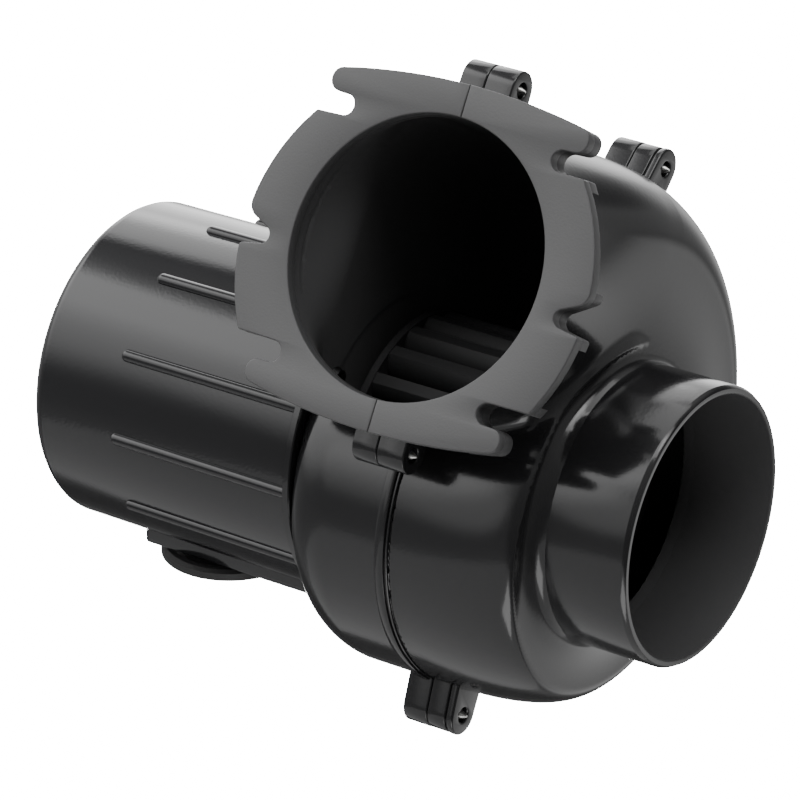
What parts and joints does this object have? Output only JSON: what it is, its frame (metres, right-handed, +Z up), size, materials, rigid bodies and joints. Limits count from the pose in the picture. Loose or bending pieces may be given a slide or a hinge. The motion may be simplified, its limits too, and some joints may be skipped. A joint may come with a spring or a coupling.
{
  "type": "dc blower fan",
  "caption": "Centrifugal blower with a brushed motor, a split scroll housing, a flanged round outlet, a hose spigot at the inlet and a ribbed motor cover with a foot.",
  "frame": {"origin": "centre of the round outlet bore on the flange's mounting face", "axes": "+X along the shaft towards the inlet spigot, -Y is the way the outlet blows, +Z up"},
  "size_m": [0.1926, 0.1509, 0.1707],
  "materials": {
    "housing_plastic": "glossy",
    "cover_plastic": "satin",
    "wheel_plastic": "satin",
    "screw_steel": "zinc plated",
    "rubber": "matte",
    "brass": "plain",
    "shaft_steel": "ground",
    "fibre": "matte",
    "core_steel": "laminated",
    "copper": "enamelled",
    "can_steel": "zinc plated",
    "magnet": "matte",
    "bronze": "sintered",
    "card": "matte",
    "carbon": "matte"
  },
  "bodies": {
    "housing": {"housing_front": "housing_plastic", "housing_rear": "housing_plastic", "housing_screws": "screw_steel", "rear_cover": "cover_plastic", "cover_screws": "screw_steel", "cable_grommet": "rubber", "mounting_foot": "rubber", "foot_screw": "screw_steel", "motor_can": "can_steel", "motor_front_plate": "can_steel", "motor_screws": "screw_steel", "field_magnets": "magnet", "front_bush": "bronze", "rear_bush": "bronze", "brush_card": "card", "brush_holders": "brass", "brushes": "carbon", "brush_springs": "shaft_steel", "terminal_tabs": "brass"},
    "rotor": {"blower_wheel": "wheel_plastic", "wheel_hub": "brass", "hub_grub_screw": "shaft_steel", "motor_shaft": "shaft_steel", "thrust_washers": "fibre", "armature_core": "core_steel", "armature_windings": "copper", "commutator": "copper"}
  },
  "joints": [
    {"name": "rotor_spin", "type": "hinge", "parent": "housing", "child": "rotor", "pos_m": [0, 0.0686, -0.0453], "axis": [1, 0, 0], "continuous": true}
  ]
}
